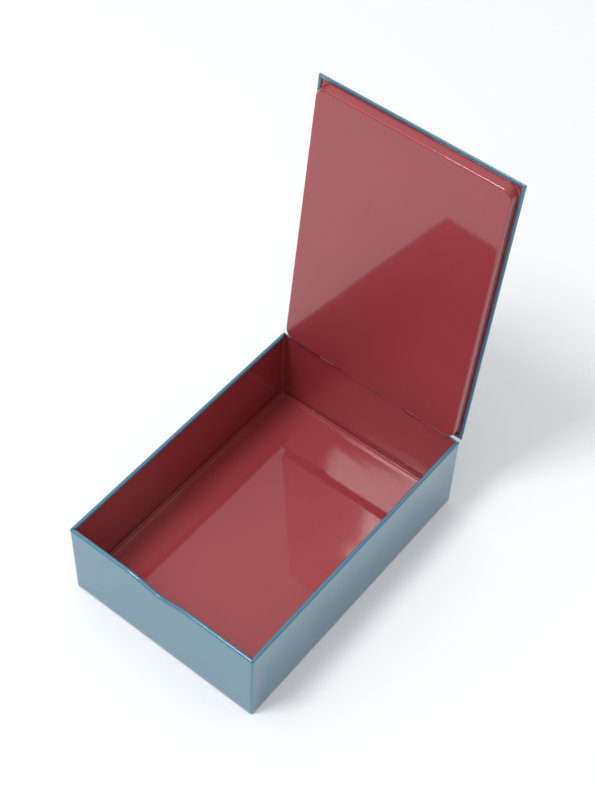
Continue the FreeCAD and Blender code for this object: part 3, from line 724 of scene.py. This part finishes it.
# %% Lacquer
CLOUD_SCALE = 28
FLAKE_SCALE = 1600
GLOSS_SCALE = 90
PEEL_SCALE = 700
PEEL_HEIGHT = 0.1 * MM
PEEL_STRENGTH = 0.035
BASE_SHINE = 0.15


def lacquer(name, tint, deep, worn, metal, rough, coat, coat_ior, coat_rough, seed):
    """Tinted lacquer on tinplate, from its tint, a deeper tint and the colour of a rubbed fold."""
    material, nodes, links, shader = new_material(name)
    place = nodes.new("ShaderNodeTexCoord").outputs["Object"]
    shift = nodes.new("ShaderNodeMapping")
    shift.inputs["Location"].default_value = (seed * 0.37, seed * 0.71, seed * 0.13)
    links.new(place, shift.inputs["Vector"])
    where = shift.outputs["Vector"]
    cloud = between_values(nodes, links, noise(nodes, links, where, CLOUD_SCALE), 0, 1)
    grains = noise(nodes, links, where, FLAKE_SCALE, 2)
    flake = between_values(nodes, links, grains, 0, 1, 0.35, 0.65)
    colour = between_colours(nodes, links, cloud, deep, tint)
    bright = tuple(min(1, c * 1.09) for c in tint)
    speck = between_values(nodes, links, flake, 0.0, 0.35, 0.0, 1.0)
    colour = between_colours(nodes, links, speck, colour, bright)
    geometry = nodes.new("ShaderNodeNewGeometry")
    fold = between_values(nodes, links, geometry.outputs["Pointiness"], 0, 0.30, 0.54, 0.66)
    colour = between_colours(nodes, links, fold, colour, worn)
    links.new(colour, shader.inputs["Base Color"])
    smears = noise(nodes, links, where, GLOSS_SCALE, 4)
    uneven = between_values(nodes, links, smears, rough - 0.03, rough + 0.03)
    links.new(uneven, shader.inputs["Roughness"])
    peel = nodes.new("ShaderNodeBump")
    peel.inputs["Strength"].default_value = PEEL_STRENGTH
    peel.inputs["Distance"].default_value = PEEL_HEIGHT
    links.new(noise(nodes, links, where, PEEL_SCALE, 1), peel.inputs["Height"])
    links.new(peel.outputs["Normal"], shader.inputs["Normal"])
    links.new(peel.outputs["Normal"], shader.inputs["Coat Normal"])
    shader.inputs["Metallic"].default_value = metal
    shader.inputs["Specular IOR Level"].default_value = BASE_SHINE
    shader.inputs["Coat Weight"].default_value = coat
    shader.inputs["Coat Roughness"].default_value = coat_rough
    shader.inputs["Coat IOR"].default_value = coat_ior
    return material


blue = lacquer("grey_blue_lacquer", tint=(0.086, 0.246, 0.350), deep=(0.076, 0.231, 0.332),
               worn=(0.24, 0.42, 0.52), metal=0.20, rough=0.34, coat=0.90, coat_ior=1.5,
               coat_rough=0.04, seed=1)
red = lacquer("crimson_lacquer", tint=(0.385, 0.053, 0.061), deep=(0.362, 0.049, 0.057),
              worn=(0.60, 0.18, 0.19), metal=0.15, rough=0.34, coat=1.00, coat_ior=1.56,
              coat_rough=0.04, seed=2)
print("lacquers", blue.name, red.name)

# %% [markdown]
# ## Steel
#
# Cut edges and the wires are bare steel: grey, soft in gloss, with fine lines along the
# wire where the drawing die left them. A flat grey metal would do at this size, but the
# lines break up its highlight, and they cost one noise texture squeezed across the wire.


# %% Bare steel
LINES_ACROSS = 9000
GROOVE = 0.02 * MM


def steel(name, colour, rough, along):
    """Bare steel with fine lines along x: noise on a place that is squeezed across them."""
    material, nodes, links, shader = new_material(name)
    place = nodes.new("ShaderNodeTexCoord").outputs["Object"]
    squeeze = nodes.new("ShaderNodeMapping")
    squeeze.inputs["Scale"].default_value = (along, LINES_ACROSS, LINES_ACROSS)
    links.new(place, squeeze.inputs["Vector"])
    lines = noise(nodes, links, squeeze.outputs["Vector"], 1.0, 2)
    dull = tuple(c * 0.82 for c in colour)
    tone = between_colours(nodes, links, between_values(nodes, links, lines, 0, 1), dull, colour)
    links.new(tone, shader.inputs["Base Color"])
    worn_gloss = between_values(nodes, links, lines, rough - 0.06, rough + 0.08)
    links.new(worn_gloss, shader.inputs["Roughness"])
    groove = nodes.new("ShaderNodeBump")
    groove.inputs["Strength"].default_value = 0.2
    groove.inputs["Distance"].default_value = GROOVE
    links.new(lines, groove.inputs["Height"])
    links.new(groove.outputs["Normal"], shader.inputs["Normal"])
    shader.inputs["Metallic"].default_value = 1.0
    return material


bare = steel("drawn_steel", colour=(0.72, 0.72, 0.71), rough=0.26, along=400)
cut = steel("cut_edge_steel", colour=(0.60, 0.61, 0.62), rough=0.36, along=3000)
print("steels", bare.name, cut.name)

# %% Paint the pieces
for piece, finishes in ((wall, (blue, red, cut)), (lid, (blue, red, cut)), (base, (red, blue)),
                        (pan, (red,)), (wire_left, (bare,)), (wire_right, (bare,))):
    for finish in finishes:
        piece.data.materials.append(finish)
    print(piece.name, [finish.name for finish in finishes])

# %% [markdown]
# ## Floor and light
#
# A glossy tin shows its surroundings, so the room is part of its look: a white table, a
# soft sky that is brightest overhead and a little dimmer to the right, and one softbox
# high in front on the left. Together they light the table at about the level of white.
# A picture of a room wrapped round the scene could light it too, but three plain parts
# are easier to name and change. The table keeps the tin's shadow, and rays from the
# camera, from glossy surfaces and through clear ones find it a little paler.

# %% Floor
FLOOR_HALF = 4.0
TABLE_GLOW = 0.15
floor_shares = np.linspace(-1, 1, 9)
floor_grid = panel(1, 1, floor_shares * FLOOR_HALF, floor_shares * FLOOR_HALF, 0.0)
table = make_piece("table_top", [patch(floor_grid)])
paper, nodes, links, shader = new_material("white_table")
nodes.remove(shader)
matt = nodes.new("ShaderNodeBsdfDiffuse")
matt.inputs["Color"].default_value = (0.88, 0.885, 0.895, 1)
glow = nodes.new("ShaderNodeEmission")
glow.inputs["Color"].default_value = (0.98, 0.99, 1.0, 1)
path = nodes.new("ShaderNodeLightPath")
seen = nodes.new("ShaderNodeMath")
seen.operation = "MAXIMUM"
links.new(path.outputs["Is Camera Ray"], seen.inputs[0])
links.new(path.outputs["Is Glossy Ray"], seen.inputs[1])
seen_through = nodes.new("ShaderNodeMath")
seen_through.operation = "MAXIMUM"
links.new(seen.outputs[0], seen_through.inputs[0])
links.new(path.outputs["Is Transmission Ray"], seen_through.inputs[1])
lift = nodes.new("ShaderNodeMath")
lift.operation = "MULTIPLY"
lift.inputs[1].default_value = TABLE_GLOW
links.new(seen_through.outputs[0], lift.inputs[0])
links.new(lift.outputs[0], glow.inputs["Strength"])
both = nodes.new("ShaderNodeAddShader")
links.new(matt.outputs[0], both.inputs[0])
links.new(glow.outputs[0], both.inputs[1])
links.new(both.outputs[0], nodes["Material Output"].inputs["Surface"])
table.data.materials.append(paper)
print(f"table {2 * FLOOR_HALF:.0f} m wide, glow {TABLE_GLOW}")

# %% Sky
SKY_LEVELS = ((0.0, 0.18), (0.12, 0.22), (0.40, 0.48), (0.70, 0.94), (1.0, 1.0))
SKY_STRENGTH = 0.79
SKY_DIMMER_RIGHT = 0.18
world = bpy.data.worlds.new("soft_room")
world.use_nodes = True
bpy.context.scene.world = world
nodes, links = world.node_tree.nodes, world.node_tree.links
direction = nodes.new("ShaderNodeTexCoord").outputs["Generated"]
split = nodes.new("ShaderNodeSeparateXYZ")
links.new(direction, split.inputs[0])
ramp = nodes.new("ShaderNodeValToRGB")
while len(ramp.color_ramp.elements) < len(SKY_LEVELS):
    ramp.color_ramp.elements.new(0.5)
for element, (height, level) in zip(ramp.color_ramp.elements, SKY_LEVELS):
    element.position = height
    element.color = (level, level, level * 1.01, 1)
links.new(split.outputs["Z"], ramp.inputs["Fac"])
links.new(ramp.outputs["Color"], nodes["Background"].inputs["Color"])
aside = nodes.new("ShaderNodeMath")
aside.operation = "MULTIPLY_ADD"
aside.inputs[1].default_value = -SKY_DIMMER_RIGHT
aside.inputs[2].default_value = SKY_STRENGTH
links.new(split.outputs["X"], aside.inputs[0])
links.new(aside.outputs[0], nodes["Background"].inputs["Strength"])
print(f"sky {SKY_STRENGTH} overhead, {SKY_STRENGTH * SKY_LEVELS[0][1]:.2f} at the horizon")


# %% Softbox
AIM_HEIGHT = 0.03


def softbox(name, towards, width_way, distance, wide, high, radiance):
    """A lamp that faces the tin, its width along a level direction; watts are pi x area x radiance."""
    lamp = bpy.data.lights.new(name, "AREA")
    lamp.shape = "RECTANGLE"
    lamp.size, lamp.size_y = wide, high
    lamp.energy = math.pi * wide * high * radiance
    box = bpy.data.objects.new(name, lamp)
    way = Vector(towards).normalized()
    across = Vector(width_way) - way * way.dot(Vector(width_way))
    across.normalize()
    facing = Matrix((across, way.cross(across), way)).transposed().to_4x4()
    box.matrix_world = Matrix.Translation(Vector((0, 0, AIM_HEIGHT)) + way * distance) @ facing
    bpy.context.scene.collection.objects.link(box)
    return box


key = softbox("key_softbox", towards=(-0.210, -0.383, 0.900), width_way=(0.95, -0.31, 0), distance=1.6,
              wide=0.374, high=0.486, radiance=20.5)
print(f"{key.name} {key.data.energy:.1f} W")

# %% [markdown]
# ## Camera
#
# The camera looks down at the tin from the front right with a moderately long lens. It
# is placed by its position, the azimuth and elevation it looks along, and a small roll.
# Three axes worked out from those angles are plainer to check than a rotation in
# quaternions, and a constraint that tracks a target couldn't hold the roll.

# %% Camera
AZIMUTH, ELEVATION, TILT = (math.radians(angle) for angle in (36.444, -51.595, 2.81))
CAMERA_PLACE = Vector((0.24713, -0.31740, 0.61071))
SENSOR_MM = 36.0
LENS_MM = 72.53
lens = bpy.data.cameras.new("camera")
lens.sensor_width = SENSOR_MM
lens.lens = LENS_MM
camera = bpy.data.objects.new("camera", lens)
forward = Vector((-math.sin(AZIMUTH) * math.cos(ELEVATION), math.cos(AZIMUTH) * math.cos(ELEVATION),
                  math.sin(ELEVATION)))
level_right = Vector((math.cos(AZIMUTH), math.sin(AZIMUTH), 0))
level_up = level_right.cross(forward)
right = level_right * math.cos(TILT) + level_up * math.sin(TILT)
up = right.cross(forward)
turned = Matrix((right, up, -forward)).transposed().to_4x4()
camera.matrix_world = Matrix.Translation(CAMERA_PLACE) @ turned
bpy.context.scene.collection.objects.link(camera)
bpy.context.scene.camera = camera
print(f"camera {CAMERA_PLACE.length:.3f} m away, lens {LENS_MM} mm")

# %% Look
bpy.context.scene.view_settings.view_transform = "Standard"
